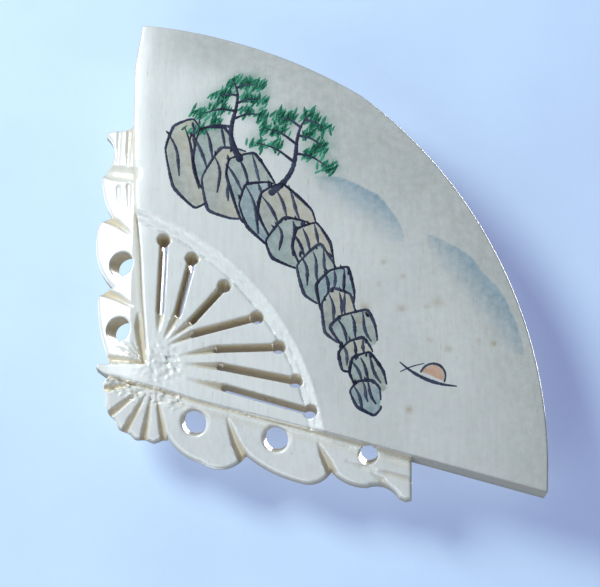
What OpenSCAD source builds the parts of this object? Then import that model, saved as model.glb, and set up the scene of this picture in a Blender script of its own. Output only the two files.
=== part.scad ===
// Carved bone brooch in the shape of an open folding fan, with a riveted pin finding on its back.
//
// The brooch stands upright as it is worn: +Z is up, its painted front faces -Y and its left,
// seen from the front, is -X. The origin is on the axis of the pin stem, halfway along it.
// The carving is drawn flat first, in a drawing plane with x to the right, y up and z out of
// the front face, and is then stood up. Its back face is z = 0. All sizes are in millimetres.

/* [Leaf] */
// Thickness of the fan leaf
leaf_t = 3.2; // [2.8:0.1:4]
// Radius of the leaf's rounded side
side_arc_r = 48.1; // [47.6:0.1:48.8]
// Radius of the flatter arc along the leaf's top
top_arc_r = 52.4; // [52:0.1:53]
// How far the pierced rib panel lies below the painted face
panel_step = 0.5; // [0.2:0.1:0.8]
// Width of the bevel between the painted face and the rib panel
panel_bevel = 1.3; // [0.6:0.1:1.6]

/* [Pierced ribs] */
// Width of a saw slot between two ribs
slot_w = 0.8; // [0.5:0.1:1]
// Radius of the drilled hole that ends a slot
slot_eye_r = 0.7; // [0.55:0.05:0.8]

/* [Border] */
// Height of the border where it meets the leaf
border_h = 2.6; // [2.2:0.1:2.8]
// Slope of the border down to its outer edge, in degrees
border_slope = 21; // [10:1:22]
// Lean of the border's drilled holes, in degrees
hole_lean = 28; // [15:1:32]

/* [Pin finding] */
// Distance from the back face to the pin's axis
pin_standoff = 3.1; // [3:0.1:4]
// Diameter of the pin wire
pin_d = 0.8; // [0.7:0.05:0.85]
// Length of the pin's straight round stretch
pin_len = 22; // [18:0.5:24]
// Width of the bar
bar_w = 4.8; // [4:0.1:6]
// Thickness of the bar and of its hinge ears
bar_t = 0.5; // [0.4:0.05:0.6]
// Opening angle of the pin in the view shown, in degrees
pin_open = 0; // [0:5:85]
// Turn of the locking collar in the view shown, in degrees
lock_turn = 0; // [0:5:90]

/* [Hidden] */
$fn = 48;
eps = 0.01;
arc_steps = 6;

// --- carving, in its drawing plane ---
// where the middle of the pin lies in the drawing plane
pin_middle = [-1.2, 10.3];
side_arc_centre = [-24, -15.6];
top_arc_centre = [-22.1, -22.3];
leaf_sides = [
    [-16.5, 30.5], [-17.3, 25], [-17.2, 18], [-16.8, 10], [-16.2, 5],
    [-15.8, 0], [-15.3, -5], [-15.1, -7.2],
    [-17, -7], [-20.2, -6.9], [-20.3, -7.3], [-19.5, -7.9],
    [-17, -8.7], [-14, -9.5], [-10, -10.8], [0, -13.4], [23.8, -20.1], [40, -20.1], [40, 31]
];
panel_arc_centre = [-26.9, -18.4];
panel_arc_r = 29.6;

// each slot runs from its drilled eye to the end of its saw cut
slots = [
    [[-13.8, 5.9], [-14, -1.5]],
    [[-10.9, 3.9], [-12.2, -1.8]],
    [[-7.6, 1], [-10.7, -2.6]],
    [[-4.3, -2.3], [-10.5, -4]],
    [[-2.1, -5.4], [-8.2, -5.6]],
    [[-0.4, -8.9], [-7.8, -7.4]],
    [[1, -12], [-7.3, -9.6]]
];

// scalloped edges: each entry is an arc through its three points
left_lobes = [
    [[-19.3, -5.9], [-20.2, -2.8], [-20.5, 0.2]],
    [[-20.5, 0.2], [-19.9, 0.8], [-18.9, 1.1]],
    [[-18.9, 1.1], [-20.4, 3.4], [-20.8, 7.4]],
    [[-20.8, 7.4], [-20.3, 8.5], [-19.3, 8.8]],
    [[-19.3, 8.8], [-20.2, 11], [-20.5, 13.6]],
    [[-19.8, 14.2], [-19.3, 16.1], [-20.2, 17.9]]
];
shell_centre = [-14.4, -9.5];
shell_r = 5.1;
bottom_lobes = [
    [[-13.2, -13.9], [-12, -15.4], [-9.8, -16.6]],
    [[-9.8, -16.6], [-7.3, -17.2], [-5.3, -15.9]],
    [[-5.3, -15.9], [-2.9, -17.5], [0, -18.6]],
    [[0, -18.6], [1.8, -18.6], [3.1, -17.5]],
    [[3.1, -17.5], [4.9, -18.8], [6.6, -19.1]],
    [[6.6, -19.1], [8.4, -19.1], [9.7, -20.2]]
];
// the line at the foot of the leaf that the bottom border slopes away from
bottom_foot = [-14, -9.5];
bottom_angle = -15.8;
left_foot_x = -17;

// drilled border holes: [middle, radius, direction in which the drill leans]
border_holes = [
    [[-18, 3.5], 1.3, 0],
    [[-18.1, -3.4], 1.3, 0],
    [[-10.5, -13.1], 1.2, 90 + bottom_angle],
    [[-2.4, -14.7], 1.2, 90 + bottom_angle],
    [[6.7, -16.1], 0.95, 90 + bottom_angle]
];
hole_level = 1.8;

// --- pin finding, in the brooch's own frame ---
pin_r = pin_d / 2;
glue_t = 0.1;
bar_face_y = pin_standoff - glue_t - bar_t;
hinge_x = -pin_len / 2 - 1.6;
catch_x = pin_len / 2 + 1.6;
bar_end = pin_len / 2 + 3.3;
bar_corner_r = 1.4;

eye_r = 1.05;
eye_w = pin_d;
rivet_r = 0.35;
rivet_head_r = 0.7;
rivet_head_h = 0.35;
running_gap = 0.05;
fixed_gap = 0.01;
ear_half_gap = eye_w / 2 + running_gap;
ear_r = 1.15;
root_r = 0.52;
root_len = 0.9;
tip_r = 0.28;
point_r = 0.06;
tip_x = bar_end + 0.5;

housing_r = 1.8;
housing_bore_r = 1.3;
housing_w = 2.4;
housing_gap = 1.1;
foot_w = 1.6;
collar_r = housing_bore_r - running_gap;
collar_bore_r = 0.52;
collar_w = 2.8;
collar_slot = 1;
window_w = 1.1;
window_end = 152;
lever_angle = 48;
lever_w = 1;
lever_t = 0.45;
lever_end = 2.5;

nail_x = 7;
nail_r = 0.42;
nail_hole_r = 0.45;
nail_depth = 1.7;
nail_head_r = 0.85;
nail_head_h = 0.35;

// An arc through three points, as a list of points without the last one
function circle_centre(a, b, c) =
    let (
        d = 2 * (a.x * (b.y - c.y) + b.x * (c.y - a.y) + c.x * (a.y - b.y)),
        u = (a * a) * (b.y - c.y) + (b * b) * (c.y - a.y) + (c * c) * (a.y - b.y),
        v = (a * a) * (c.x - b.x) + (b * b) * (a.x - c.x) + (c * c) * (b.x - a.x)
    ) [u / d, v / d];
function turn_between(u, v) = atan2(u.x * v.y - u.y * v.x, u * v);
function spin(p, angle) = [
    p.x * cos(angle) - p.y * sin(angle),
    p.x * sin(angle) + p.y * cos(angle)
];
function arc3(a, b, c, steps = arc_steps) =
    let (
        m = circle_centre(a, b, c),
        sweep = turn_between(a - m, b - m) + turn_between(b - m, c - m)
    ) [for (i = [0 : steps - 1]) m + spin(a - m, sweep * i / steps)];
function chain(arcs) = [for (a = arcs) each arc3(a[0], a[1], a[2])];

// Stand a flat-drawn solid upright behind the pin's axis
module upright() {
    translate([-pin_middle.x, -pin_standoff, -pin_middle.y]) rotate([90, 0, 0]) children();
}

// A cylinder along X, and one along Z, both centred
module along_x(r, length) {
    rotate([0, 90, 0]) cylinder(r = r, h = length, center = true);
}
module along_z(r, length) {
    cylinder(r = r, h = length, center = true);
}

module leaf_outline() {
    intersection() {
        translate(side_arc_centre) circle(r = side_arc_r, $fn = 180);
        translate(top_arc_centre) circle(r = top_arc_r, $fn = 180);
        polygon(leaf_sides);
    }
}

module rib_slot(eye, end) {
    run = end - eye;
    translate(eye) {
        circle(r = slot_eye_r);
        rotate(atan2(run.y, run.x)) {
            translate([0, -slot_w / 2]) square([norm(run), slot_w]);
            translate([norm(run), 0]) circle(r = slot_w / 2);
        }
    }
}

// The lowered panel: a straight-sided pocket under a bevelled mouth
module panel_pocket() {
    floor_z = leaf_t - panel_step;
    translate([panel_arc_centre.x, panel_arc_centre.y, floor_z]) {
        cylinder(
            h = panel_step + eps, r1 = panel_arc_r - panel_bevel, r2 = panel_arc_r, $fn = 180
        );
    }
}

module leaf() {
    difference() {
        linear_extrude(leaf_t) leaf_outline();
        panel_pocket();
    }
}

module left_border() {
    difference() {
        linear_extrude(border_h) polygon(concat(
            chain(left_lobes),
            [[-20.2, 17.9], [-20, 18.4], [-16, 18.5], [-15, 0], [-15, -7.4], [-18.9, -7.2]]
        ));
        translate([left_foot_x, -10, border_h]) rotate([0, 180 - border_slope, 0]) {
            translate([0, 0, -4]) cube([8, 40, 4]);
        }
    }
}

module bottom_border() {
    difference() {
        linear_extrude(border_h) union() {
            polygon(concat(
                chain(bottom_lobes),
                [[9.7, -20.2], [10.3, -20.5], [10.9, -20.4], [10.9, -15.5], [-13.2, -9]]
            ));
            intersection() {
                translate(shell_centre) circle(r = shell_r, $fn = 96);
                polygon([[-20, -7.6], [-20, -15], [-13.1, -15], [-13.1, -9]]);
            }
        }
        translate([bottom_foot.x, bottom_foot.y, border_h]) rotate(bottom_angle) {
            rotate([border_slope, 0, 0]) translate([-10, -12, 0]) cube([50, 12, 6]);
        }
    }
}

module border_hole(middle, r, lean_direction) {
    translate([middle.x, middle.y, hole_level]) rotate(lean_direction) {
        rotate([0, -hole_lean, 0]) along_z(r, 8);
    }
}

module nail_holes(r, depth) {
    for (side = [-1, 1]) {
        translate([side * nail_x, -pin_standoff - depth, 0]) rotate([-90, 0, 0]) {
            cylinder(r = r, h = 2 * depth);
        }
    }
}

module carved_fan() {
    color([0.86, 0.85, 0.8]) difference() {
        upright() difference() {
            union() {
                leaf();
                left_border();
                bottom_border();
            }
            translate([0, 0, -1]) linear_extrude(leaf_t + 2) {
                for (s = slots) rib_slot(s[0], s[1]);
            }
            for (h = border_holes) border_hole(h[0], h[1], h[2]);
        }
        nail_holes(nail_hole_r, nail_depth);
    }
}

// The bar's outline, drawn with x along the pin and y up
module bar_outline(shrink) {
    half_len = bar_end - bar_corner_r;
    half_w = bar_w / 2 - bar_corner_r;
    r = bar_corner_r - shrink;
    difference() {
        union() {
            square([2 * half_len, bar_w - 2 * shrink], center = true);
            square([2 * (bar_end - shrink), 2 * half_w], center = true);
            for (x = [-half_len, half_len], y = [-half_w, half_w]) translate([x, y]) circle(r = r);
        }
        for (side = [-1, 1]) translate([side * nail_x, 0]) circle(r = nail_hole_r);
    }
}

module glue_bed() {
    color([0.8, 0.75, 0.55]) translate([0, -pin_standoff + glue_t, 0]) {
        rotate([90, 0, 0]) linear_extrude(glue_t) bar_outline(0.3);
    }
}

module hinge_ear(z) {
    translate([hinge_x, 0, z]) difference() {
        union() {
            along_z(ear_r, bar_t);
            translate([-ear_r, -bar_face_y - eps, -bar_t / 2]) {
                cube([2 * ear_r, bar_face_y + eps, bar_t]);
            }
        }
        along_z(rivet_r + fixed_gap, bar_t + 1);
    }
}

module pin_bar() {
    ear_z = ear_half_gap + bar_t / 2;
    color([0.74, 0.72, 0.66]) {
        translate([0, -bar_face_y, 0]) rotate([90, 0, 0]) linear_extrude(bar_t) bar_outline(0);
        hinge_ear(ear_z);
        hinge_ear(-ear_z);
    }
}

module fixing_nails() {
    color([0.78, 0.62, 0.3]) for (side = [-1, 1]) {
        translate([side * nail_x, -bar_face_y, 0]) rotate([90, 0, 0]) {
            cylinder(r = nail_r, h = bar_t + glue_t + nail_depth - 0.2);
            intersection() {
                translate([0, 0, -nail_head_h]) cylinder(r = nail_head_r, h = nail_head_h);
                translate([0, 0, 1]) sphere(r = 1 + nail_head_h);
            }
        }
    }
}

// The sector of the housing's middle that is open for the collar's lever
module lever_window() {
    far = 3 * housing_r;
    rotate([90, 0, 90]) linear_extrude(window_w, center = true) polygon([
        [0, 0],
        for (angle = [0 : window_end / 4 : window_end]) far * [cos(angle), sin(angle)]
    ]);
}

module catch_housing() {
    color([0.74, 0.72, 0.66]) translate([catch_x, 0, 0]) difference() {
        union() {
            along_x(housing_r, housing_w);
            translate([-housing_w / 2, -bar_face_y, -foot_w / 2]) {
                cube([housing_w, bar_face_y, foot_w]);
            }
        }
        along_x(housing_bore_r, housing_w + 1);
        translate([-housing_w, 0, -housing_gap / 2]) cube([2 * housing_w, 3, housing_gap]);
        lever_window();
    }
}

module locking_collar() {
    knob_r = 0.4;
    color([0.74, 0.72, 0.66]) translate([catch_x, 0, 0]) rotate([lock_turn, 0, 0]) {
        difference() {
            along_x(collar_r, collar_w);
            along_x(collar_bore_r, collar_w + 1);
            translate([-collar_w, 0, -collar_slot / 2]) cube([2 * collar_w, 3, collar_slot]);
        }
        rotate([lever_angle, 0, 0]) {
            translate([-lever_w / 2, collar_r - 0.3, -lever_t / 2]) {
                cube([lever_w, lever_end - knob_r - collar_r + 0.3, lever_t]);
            }
            translate([0, lever_end - knob_r, 0]) along_x(knob_r, lever_w);
        }
    }
}

module pin_stem() {
    far_x = catch_x + collar_w / 2 + 0.2;
    color([0.78, 0.77, 0.74]) translate([hinge_x, 0, 0]) rotate([0, 0, pin_open]) {
        translate([-hinge_x, 0, 0]) {
            difference() {
                union() {
                    translate([hinge_x, 0, 0]) along_z(eye_r, eye_w);
                    translate([-pin_len / 2 - root_len, 0, 0]) rotate([0, 90, 0]) {
                        intersection() {
                            cylinder(r1 = root_r, r2 = pin_r, h = root_len);
                            cube([eye_w, 4, 4], center = true);
                        }
                    }
                }
                translate([hinge_x, 0, 0]) along_z(rivet_r + running_gap, eye_w + 1);
            }
            along_x(pin_r, pin_len);
            translate([pin_len / 2, 0, 0]) rotate([0, 90, 0]) {
                cylinder(r1 = pin_r, r2 = tip_r, h = far_x - pin_len / 2);
            }
            translate([far_x, 0, 0]) rotate([0, 90, 0]) {
                cylinder(r1 = tip_r, r2 = point_r, h = tip_x - far_x);
            }
        }
    }
}

module hinge_rivet() {
    ear_face_z = ear_half_gap + bar_t;
    color([0.78, 0.62, 0.3]) translate([hinge_x, 0, 0]) {
        along_z(rivet_r, 2 * ear_face_z + 2 * eps);
        for (side = [0, 180]) rotate([side, 0, 0]) translate([0, 0, ear_face_z]) {
            intersection() {
                cylinder(r = rivet_head_r, h = rivet_head_h);
                translate([0, 0, rivet_head_h - 1]) sphere(r = 1);
            }
        }
    }
}

carved_fan();
glue_bed();
pin_bar();
fixing_nails();
catch_housing();
locking_collar();
pin_stem();
hinge_rivet();
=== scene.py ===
"""Carved bone fan brooch with a painted leaf, standing upright as it is worn.

The carving is worked out in the same flat drawing plane as the CAD source: x to the right, y up
and z out of the painted face, in millimetres, with the back face at z = 0.
"""
import math
import random
from collections import namedtuple

import bpy
import numpy as np
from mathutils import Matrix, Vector, noise
from mathutils.geometry import delaunay_2d_cdt
from mathutils.kdtree import KDTree


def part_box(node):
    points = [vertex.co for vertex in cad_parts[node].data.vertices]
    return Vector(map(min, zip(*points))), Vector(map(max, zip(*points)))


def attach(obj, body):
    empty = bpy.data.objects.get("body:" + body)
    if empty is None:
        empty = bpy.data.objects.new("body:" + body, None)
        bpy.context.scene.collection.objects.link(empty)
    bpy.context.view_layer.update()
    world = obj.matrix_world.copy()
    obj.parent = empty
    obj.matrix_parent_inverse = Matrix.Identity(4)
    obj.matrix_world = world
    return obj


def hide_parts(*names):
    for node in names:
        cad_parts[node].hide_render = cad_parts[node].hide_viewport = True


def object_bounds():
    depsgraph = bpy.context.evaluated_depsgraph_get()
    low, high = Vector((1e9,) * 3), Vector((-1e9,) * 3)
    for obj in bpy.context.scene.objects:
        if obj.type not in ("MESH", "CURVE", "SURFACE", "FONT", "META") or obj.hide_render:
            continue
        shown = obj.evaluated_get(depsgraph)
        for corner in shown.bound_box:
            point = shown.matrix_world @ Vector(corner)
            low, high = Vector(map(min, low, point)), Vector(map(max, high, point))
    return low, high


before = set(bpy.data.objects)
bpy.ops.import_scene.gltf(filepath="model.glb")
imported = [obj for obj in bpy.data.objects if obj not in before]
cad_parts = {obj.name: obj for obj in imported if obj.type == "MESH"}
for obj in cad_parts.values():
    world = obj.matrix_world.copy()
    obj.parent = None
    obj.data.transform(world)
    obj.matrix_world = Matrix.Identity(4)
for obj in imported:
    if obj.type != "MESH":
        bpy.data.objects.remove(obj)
cad_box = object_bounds()

MM = 0.001
PIN_MIDDLE = (-1.2, 10.3)
BACK_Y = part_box("carved_fan")[1][1]
EPS = 1e-9


def to_frame(points):
    """Drawing-plane millimetres to metres in the brooch's own frame."""
    p = np.asarray(points, float)
    out = np.empty_like(p)
    out[:, 0] = (p[:, 0] - PIN_MIDDLE[0]) * MM
    out[:, 1] = BACK_Y - p[:, 2] * MM
    out[:, 2] = (p[:, 1] - PIN_MIDDLE[1]) * MM
    return out


# --- flat geometry ---------------------------------------------------------------------------

def turned(x, y, angle):
    c, s = math.cos(angle), math.sin(angle)
    return np.array([x * c - y * s, x * s + y * c])


def signed_turn(u, v):
    return math.atan2(u[0] * v[1] - u[1] * v[0], u[0] * v[0] + u[1] * v[1])


def arc3(a, b, c, step):
    """The arc through a, b and c as points about step apart, without the last one."""
    a, b, c = (np.array(p, float) for p in (a, b, c))
    d = 2 * (a[0] * (b[1] - c[1]) + b[0] * (c[1] - a[1]) + c[0] * (a[1] - b[1]))
    u = (a @ a) * (b[1] - c[1]) + (b @ b) * (c[1] - a[1]) + (c @ c) * (a[1] - b[1])
    v = (a @ a) * (c[0] - b[0]) + (b @ b) * (a[0] - c[0]) + (c @ c) * (b[0] - a[0])
    m = np.array([u / d, v / d])
    sweep = signed_turn(a - m, b - m) + signed_turn(b - m, c - m)
    n = max(3, math.ceil(abs(sweep) * np.hypot(*(a - m)) / step))
    return [m + turned(*(a - m), sweep * i / n) for i in range(n)]


def circle_arc(centre, r, start, end, step):
    """Points from angle start to angle end on a circle, both ends included."""
    n = max(2, math.ceil(abs(end - start) * r / step))
    angles = np.linspace(start, end, n + 1)
    return [np.array([centre[0] + r * math.cos(t), centre[1] + r * math.sin(t)]) for t in angles]


def divided(points, step, closed=True):
    """The same polyline with its long segments divided; its corners stay."""
    points = [np.array(p, float) for p in points]
    ends = points[1:] + points[:1] if closed else points[1:]
    out = []
    for p, q in zip(points, ends):
        n = max(1, round(float(np.hypot(*(q - p))) / step))
        out += [p + (q - p) * i / n for i in range(n)]
    if not closed:
        out.append(points[-1])
    return np.array(out)


def line_meets_circle(p, q, centre, r):
    """Where the line from p to q leaves the circle."""
    p, q, centre = (np.array(v, float) for v in (p, q, centre))
    u = (q - p) / np.hypot(*(q - p))
    along = (centre - p) @ u
    off = p + u * along - centre
    return p + u * (along + math.sqrt(r * r - off @ off))


def circles_meet(c1, r1, c2, r2):
    """The crossing of two circles that is higher up."""
    c1, c2 = np.array(c1, float), np.array(c2, float)
    d = np.hypot(*(c2 - c1))
    a = (r1 * r1 - r2 * r2 + d * d) / (2 * d)
    h = math.sqrt(r1 * r1 - a * a)
    u = (c2 - c1) / d
    side = np.array([-u[1], u[0]]) * h
    both = [c1 + u * a + side, c1 + u * a - side]
    return max(both, key=lambda p: p[1])


def angle_of(p, centre):
    return math.atan2(p[1] - centre[1], p[0] - centre[0])


def inside(points, loop):
    """Which points lie inside a closed loop."""
    x, y = points[:, 0], points[:, 1]
    found = np.zeros(len(points), bool)
    for (x0, y0), (x1, y1) in zip(loop, np.roll(loop, -1, axis=0)):
        if y0 == y1:
            continue
        crosses = (y0 > y) != (y1 > y)
        found ^= crosses & (x < x0 + (y - y0) * (x1 - x0) / (y1 - y0))
    return found


def along_line(points, line, closed=False):
    """Distance of each point to a polyline, and where along it (0 to 1) the nearest place is."""
    line = np.asarray(line, float)
    ends = np.roll(line, -1, axis=0) if closed else line[1:]
    starts = line if closed else line[:-1]
    lengths = np.maximum(np.hypot(*(ends - starts).T), EPS)
    done = np.concatenate([[0], np.cumsum(lengths)[:-1]])
    units = (ends - starts) / lengths[:, None]
    if len(starts) <= 8:
        tried = [np.full(len(points), i) for i in range(len(starts))]
    else:
        tree = KDTree(len(starts))
        for i, p in enumerate(starts):
            tree.insert((p[0], p[1], 0), i)
        tree.balance()
        nearest = np.array([tree.find((x, y, 0))[1] for x, y in points], int)
        tried = [nearest, (nearest - 1) % len(starts)]
    best = np.full(len(points), 1e9)
    place = np.zeros(len(points))
    for index in tried:
        rel = points - starts[index]
        t = np.clip((rel * units[index]).sum(axis=1), 0, lengths[index])
        off = rel - units[index] * t[:, None]
        d = np.hypot(off[:, 0], off[:, 1])
        nearer = d < best
        best = np.where(nearer, d, best)
        place = np.where(nearer, (done[index] + t) / lengths.sum(), place)
    return best, place


# --- the carving's outline -------------------------------------------------------------------

EDGE_STEP = 0.14
LEAF_T = 3.2
SIDE_ARC = ((-24, -15.6), 48.1)
TOP_ARC = ((-22.1, -22.3), 52.4)
PANEL_ARC = ((-26.9, -18.4), 29.6)
PANEL_STEP = 0.5
PANEL_BEVEL = 1.3
BORDER_H = 2.6
BORDER_FALL = math.tan(math.radians(21))
LEFT_FOOT_X = -17
BOTTOM_FOOT = np.array([-14, -9.5])
BOTTOM_ANGLE = math.radians(-15.8)

LEAF_LEFT = [
    (-17.3, 25), (-17.2, 18), (-16.8, 10), (-16.2, 5), (-15.8, 0), (-15.3, -5), (-15.1, -7.2),
    (-17, -7), (-20.2, -6.9), (-20.3, -7.3), (-19.5, -7.9), (-17, -8.7), (-14, -9.5),
    (-10, -10.8), (0, -13.4)
]
LEAF_TOP_LINE = ((-17.3, 25), (-16.5, 30.5))
LEAF_FOOT_LINE = ((0, -13.4), (23.8, -20.1))

LEFT_LOBES = [
    ((-19.3, -5.9), (-20.2, -2.8), (-20.5, 0.2)),
    ((-20.5, 0.2), (-19.9, 0.8), (-18.9, 1.1)),
    ((-18.9, 1.1), (-20.4, 3.4), (-20.8, 7.4)),
    ((-20.8, 7.4), (-20.3, 8.5), (-19.3, 8.8)),
    ((-19.3, 8.8), (-20.2, 11), (-20.5, 13.6)),
    ((-19.8, 14.2), (-19.3, 16.1), (-20.2, 17.9))
]
LEFT_REST = [
    (-20.2, 17.9), (-20, 18.3), (-19.2, 18.35), (-18.2, 18.25), (-17.4, 18.45), (-16.5, 18.4),
    (-15, 0), (-15, -7.4), (-18.9, -7.2)
]
BOTTOM_LOBES = [
    ((-13.2, -13.9), (-12, -15.4), (-9.8, -16.6)),
    ((-9.8, -16.6), (-7.3, -17.2), (-5.3, -15.9)),
    ((-5.3, -15.9), (-2.9, -17.5), (0, -18.6)),
    ((0, -18.6), (1.8, -18.6), (3.1, -17.5)),
    ((3.1, -17.5), (4.9, -18.8), (6.6, -19.1)),
    ((6.6, -19.1), (8.4, -19.1), (9.7, -20.2))
]
BOTTOM_REST = [(9.7, -20.2), (10.3, -20.5), (10.9, -20.4), (10.9, -15.5), (-13.2, -9)]
SHELL_CENTRE = np.array([-14.4, -9.5])
SHELL_R = 5.02
SHELL_SCALLOP = 0.12
FLUTE_HUB = np.array([-14.4, -8.8])
FLUTE_ANGLES = [188, 215, 238, 259, 280]

# each slot: its drilled eye, the end of its saw cut, where its shallow lead-in ends, and how much
# of its width is left at the back, where the saw and drill only just broke through
SLOTS = [
    ((-13.8, 5.9), (-14, -1.5), (-14.1, -3.8), 0.2),
    ((-10.9, 3.9), (-12.2, -1.8), (-13.5, -4.6), 0.2),
    ((-7.6, 1), (-10.7, -2.6), (-12.9, -4.6), 0.25),
    ((-4.3, -2.3), (-10.5, -4), (-13, -5.2), 0.5),
    ((-2.1, -5.4), (-8.2, -5.6), (-11.8, -6.3), 0.55),
    ((-0.4, -8.9), (-7.8, -7.4), (-11.3, -7.2), 0.6),
    ((1, -12), (-7.3, -9.6), (-11, -8.7), 0.95)
]
SLOT_W = 0.8
SLOT_EYE_R = 0.7

# each border hole: middle, radius, the way its drill leans, and the rounding of its rim
UP_BOTTOM = math.pi / 2 + BOTTOM_ANGLE
HOLES = [
    ((-18, 3.5), 1.3, 0, 0.14),
    ((-18.1, -3.4), 1.3, 0, 0.14),
    ((-10.5, -13.1), 1.2, UP_BOTTOM, 0.4),
    ((-2.4, -14.7), 1.2, UP_BOTTOM, 0.4),
    ((6.7, -16.1), 0.95, UP_BOTTOM, 0.12)
]
HOLE_LEAN = math.radians(28)
HOLE_LEVEL = 1.8


def leaf_loop():
    corner = line_meets_circle(*LEAF_FOOT_LINE, *SIDE_ARC)
    joint = circles_meet(*SIDE_ARC, *TOP_ARC)
    peak = line_meets_circle(*LEAF_TOP_LINE, *TOP_ARC)
    side = circle_arc(
        *SIDE_ARC, angle_of(corner, SIDE_ARC[0]), angle_of(joint, SIDE_ARC[0]), EDGE_STEP
    )
    top = circle_arc(
        *TOP_ARC, angle_of(joint, TOP_ARC[0]), angle_of(peak, TOP_ARC[0]), EDGE_STEP
    )
    left = divided([peak] + LEAF_LEFT + [corner], EDGE_STEP, closed=False)
    return np.vstack([left[:-1], side[:-1], top[:-1]])


def lobed_loop(lobes, rest):
    points = []
    for lobe in lobes:
        points += arc3(*lobe, EDGE_STEP)
    return divided(points + list(rest), EDGE_STEP)


def shell_loop():
    """The fan-shaped shell below the corner, scalloped between its flutes."""
    flutes = np.radians(FLUTE_ANGLES)
    points = []
    for t in np.linspace(math.radians(172), math.radians(285), 90):
        to_flute = np.abs(flutes - t).min()
        r = SHELL_R + SHELL_SCALLOP * math.cos(math.pi * min(1, to_flute / 0.2)) * -1
        points.append(SHELL_CENTRE + r * np.array([math.cos(t), math.sin(t)]))
    return divided(points + [(-13.1, -13), (-13.1, -9), (-18.6, -7.7)], EDGE_STEP)


def slot_loop(eye, end):
    """Keyhole outline: a round eye with a parallel saw cut running from it."""
    eye, end = np.array(eye, float), np.array(end, float)
    way = angle_of(end, eye)
    half = SLOT_W / 2
    throat = math.asin(half / SLOT_EYE_R)
    points = circle_arc(eye, SLOT_EYE_R, way + throat, way + 2 * math.pi - throat, EDGE_STEP)
    points += circle_arc(end, half, way - math.pi / 2, way + math.pi / 2, EDGE_STEP)
    return divided(points, EDGE_STEP)


def hole_ring(hole, z):
    """The outline of a leaning drilled hole at heights z, one height for each point."""
    middle, r, way, _ = hole
    n = len(z)
    t = np.linspace(0, 2 * math.pi, n, endpoint=False)
    u = np.array([math.cos(way), math.sin(way)])
    v = np.array([-u[1], u[0]])
    along = r / math.cos(HOLE_LEAN) * np.cos(t) - math.tan(HOLE_LEAN) * (z - HOLE_LEVEL)
    return np.array(middle) + along[:, None] * u + (r * np.sin(t))[:, None] * v


LEAF = leaf_loop()
LEFT_BORDER = lobed_loop(LEFT_LOBES, LEFT_REST)
BOTTOM_BORDER = lobed_loop(BOTTOM_LOBES, BOTTOM_REST)
SHELL = shell_loop()
SLOT_LOOPS = [slot_loop(s[0], s[1]) for s in SLOTS]


def triangulate(loops, loose, lines=()):
    """Triangles over closed loops and open lines, which stay as edges, and loose points."""
    points, edges = [], []
    for line, closed in [(loop, True) for loop in loops] + [(line, False) for line in lines]:
        first, n = len(points), len(line)
        points += [Vector(p) for p in line]
        edges += [(first + i, first + (i + 1) % n) for i in range(n if closed else n - 1)]
    points += [Vector(p) for p in loose]
    found = delaunay_2d_cdt(points, edges, [], 0, 1e-5, False)
    verts = np.array([(v.x, v.y) for v in found[0]])
    faces = np.array(found[2])
    a, b, c = (verts[faces[:, i]] for i in range(3))
    turn = (b[:, 0] - a[:, 0]) * (c[:, 1] - a[:, 1]) - (b[:, 1] - a[:, 1]) * (c[:, 0] - a[:, 0])
    faces[turn < 0] = faces[turn < 0][:, ::-1]
    return verts, faces[np.abs(turn) > 1e-9]


def inner_stretches(loop, margin=0.12):
    """The stretches of a loop that lie on the leaf and clear of its edge."""
    clear = inside(loop, LEAF) & (along_line(loop, LEAF, closed=True)[0] > margin)
    if clear.all():
        return [np.vstack([loop, loop[:1]])]
    first = int(np.argmin(clear))
    stretches, current = [], []
    for i in range(first, first + len(loop) + 1):
        if clear[i % len(loop)]:
            current.append(loop[i % len(loop)])
        elif current:
            stretches.append(np.array(current))
            current = []
    return [line for line in stretches if len(line) > 1]


def boundary_loops(faces):
    """The open edges of a triangle mesh, chained into loops of vertex numbers."""
    edges = np.vstack([faces[:, [0, 1]], faces[:, [1, 2]], faces[:, [2, 0]]])
    known = {tuple(e) for e in edges.tolist()}
    following = {a: b for a, b in known if (b, a) not in known}
    loops = []
    while following:
        start, at = following.popitem()
        loop = [start]
        while at != start:
            loop.append(at)
            at = following.pop(at)
        loops.append(loop)
    return sorted(loops, key=len, reverse=True)


def silhouette():
    """The outer edge of leaf, borders and shell together."""
    parts = [LEAF, LEFT_BORDER, BOTTOM_BORDER, SHELL]
    verts, faces = triangulate(parts, [])
    middles = verts[faces].mean(axis=1)
    kept = np.any([inside(middles, part) for part in parts], axis=0)
    return verts[boundary_loops(faces[kept])[0]]


OUTER = silhouette()

# --- the relief ------------------------------------------------------------------------------

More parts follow.
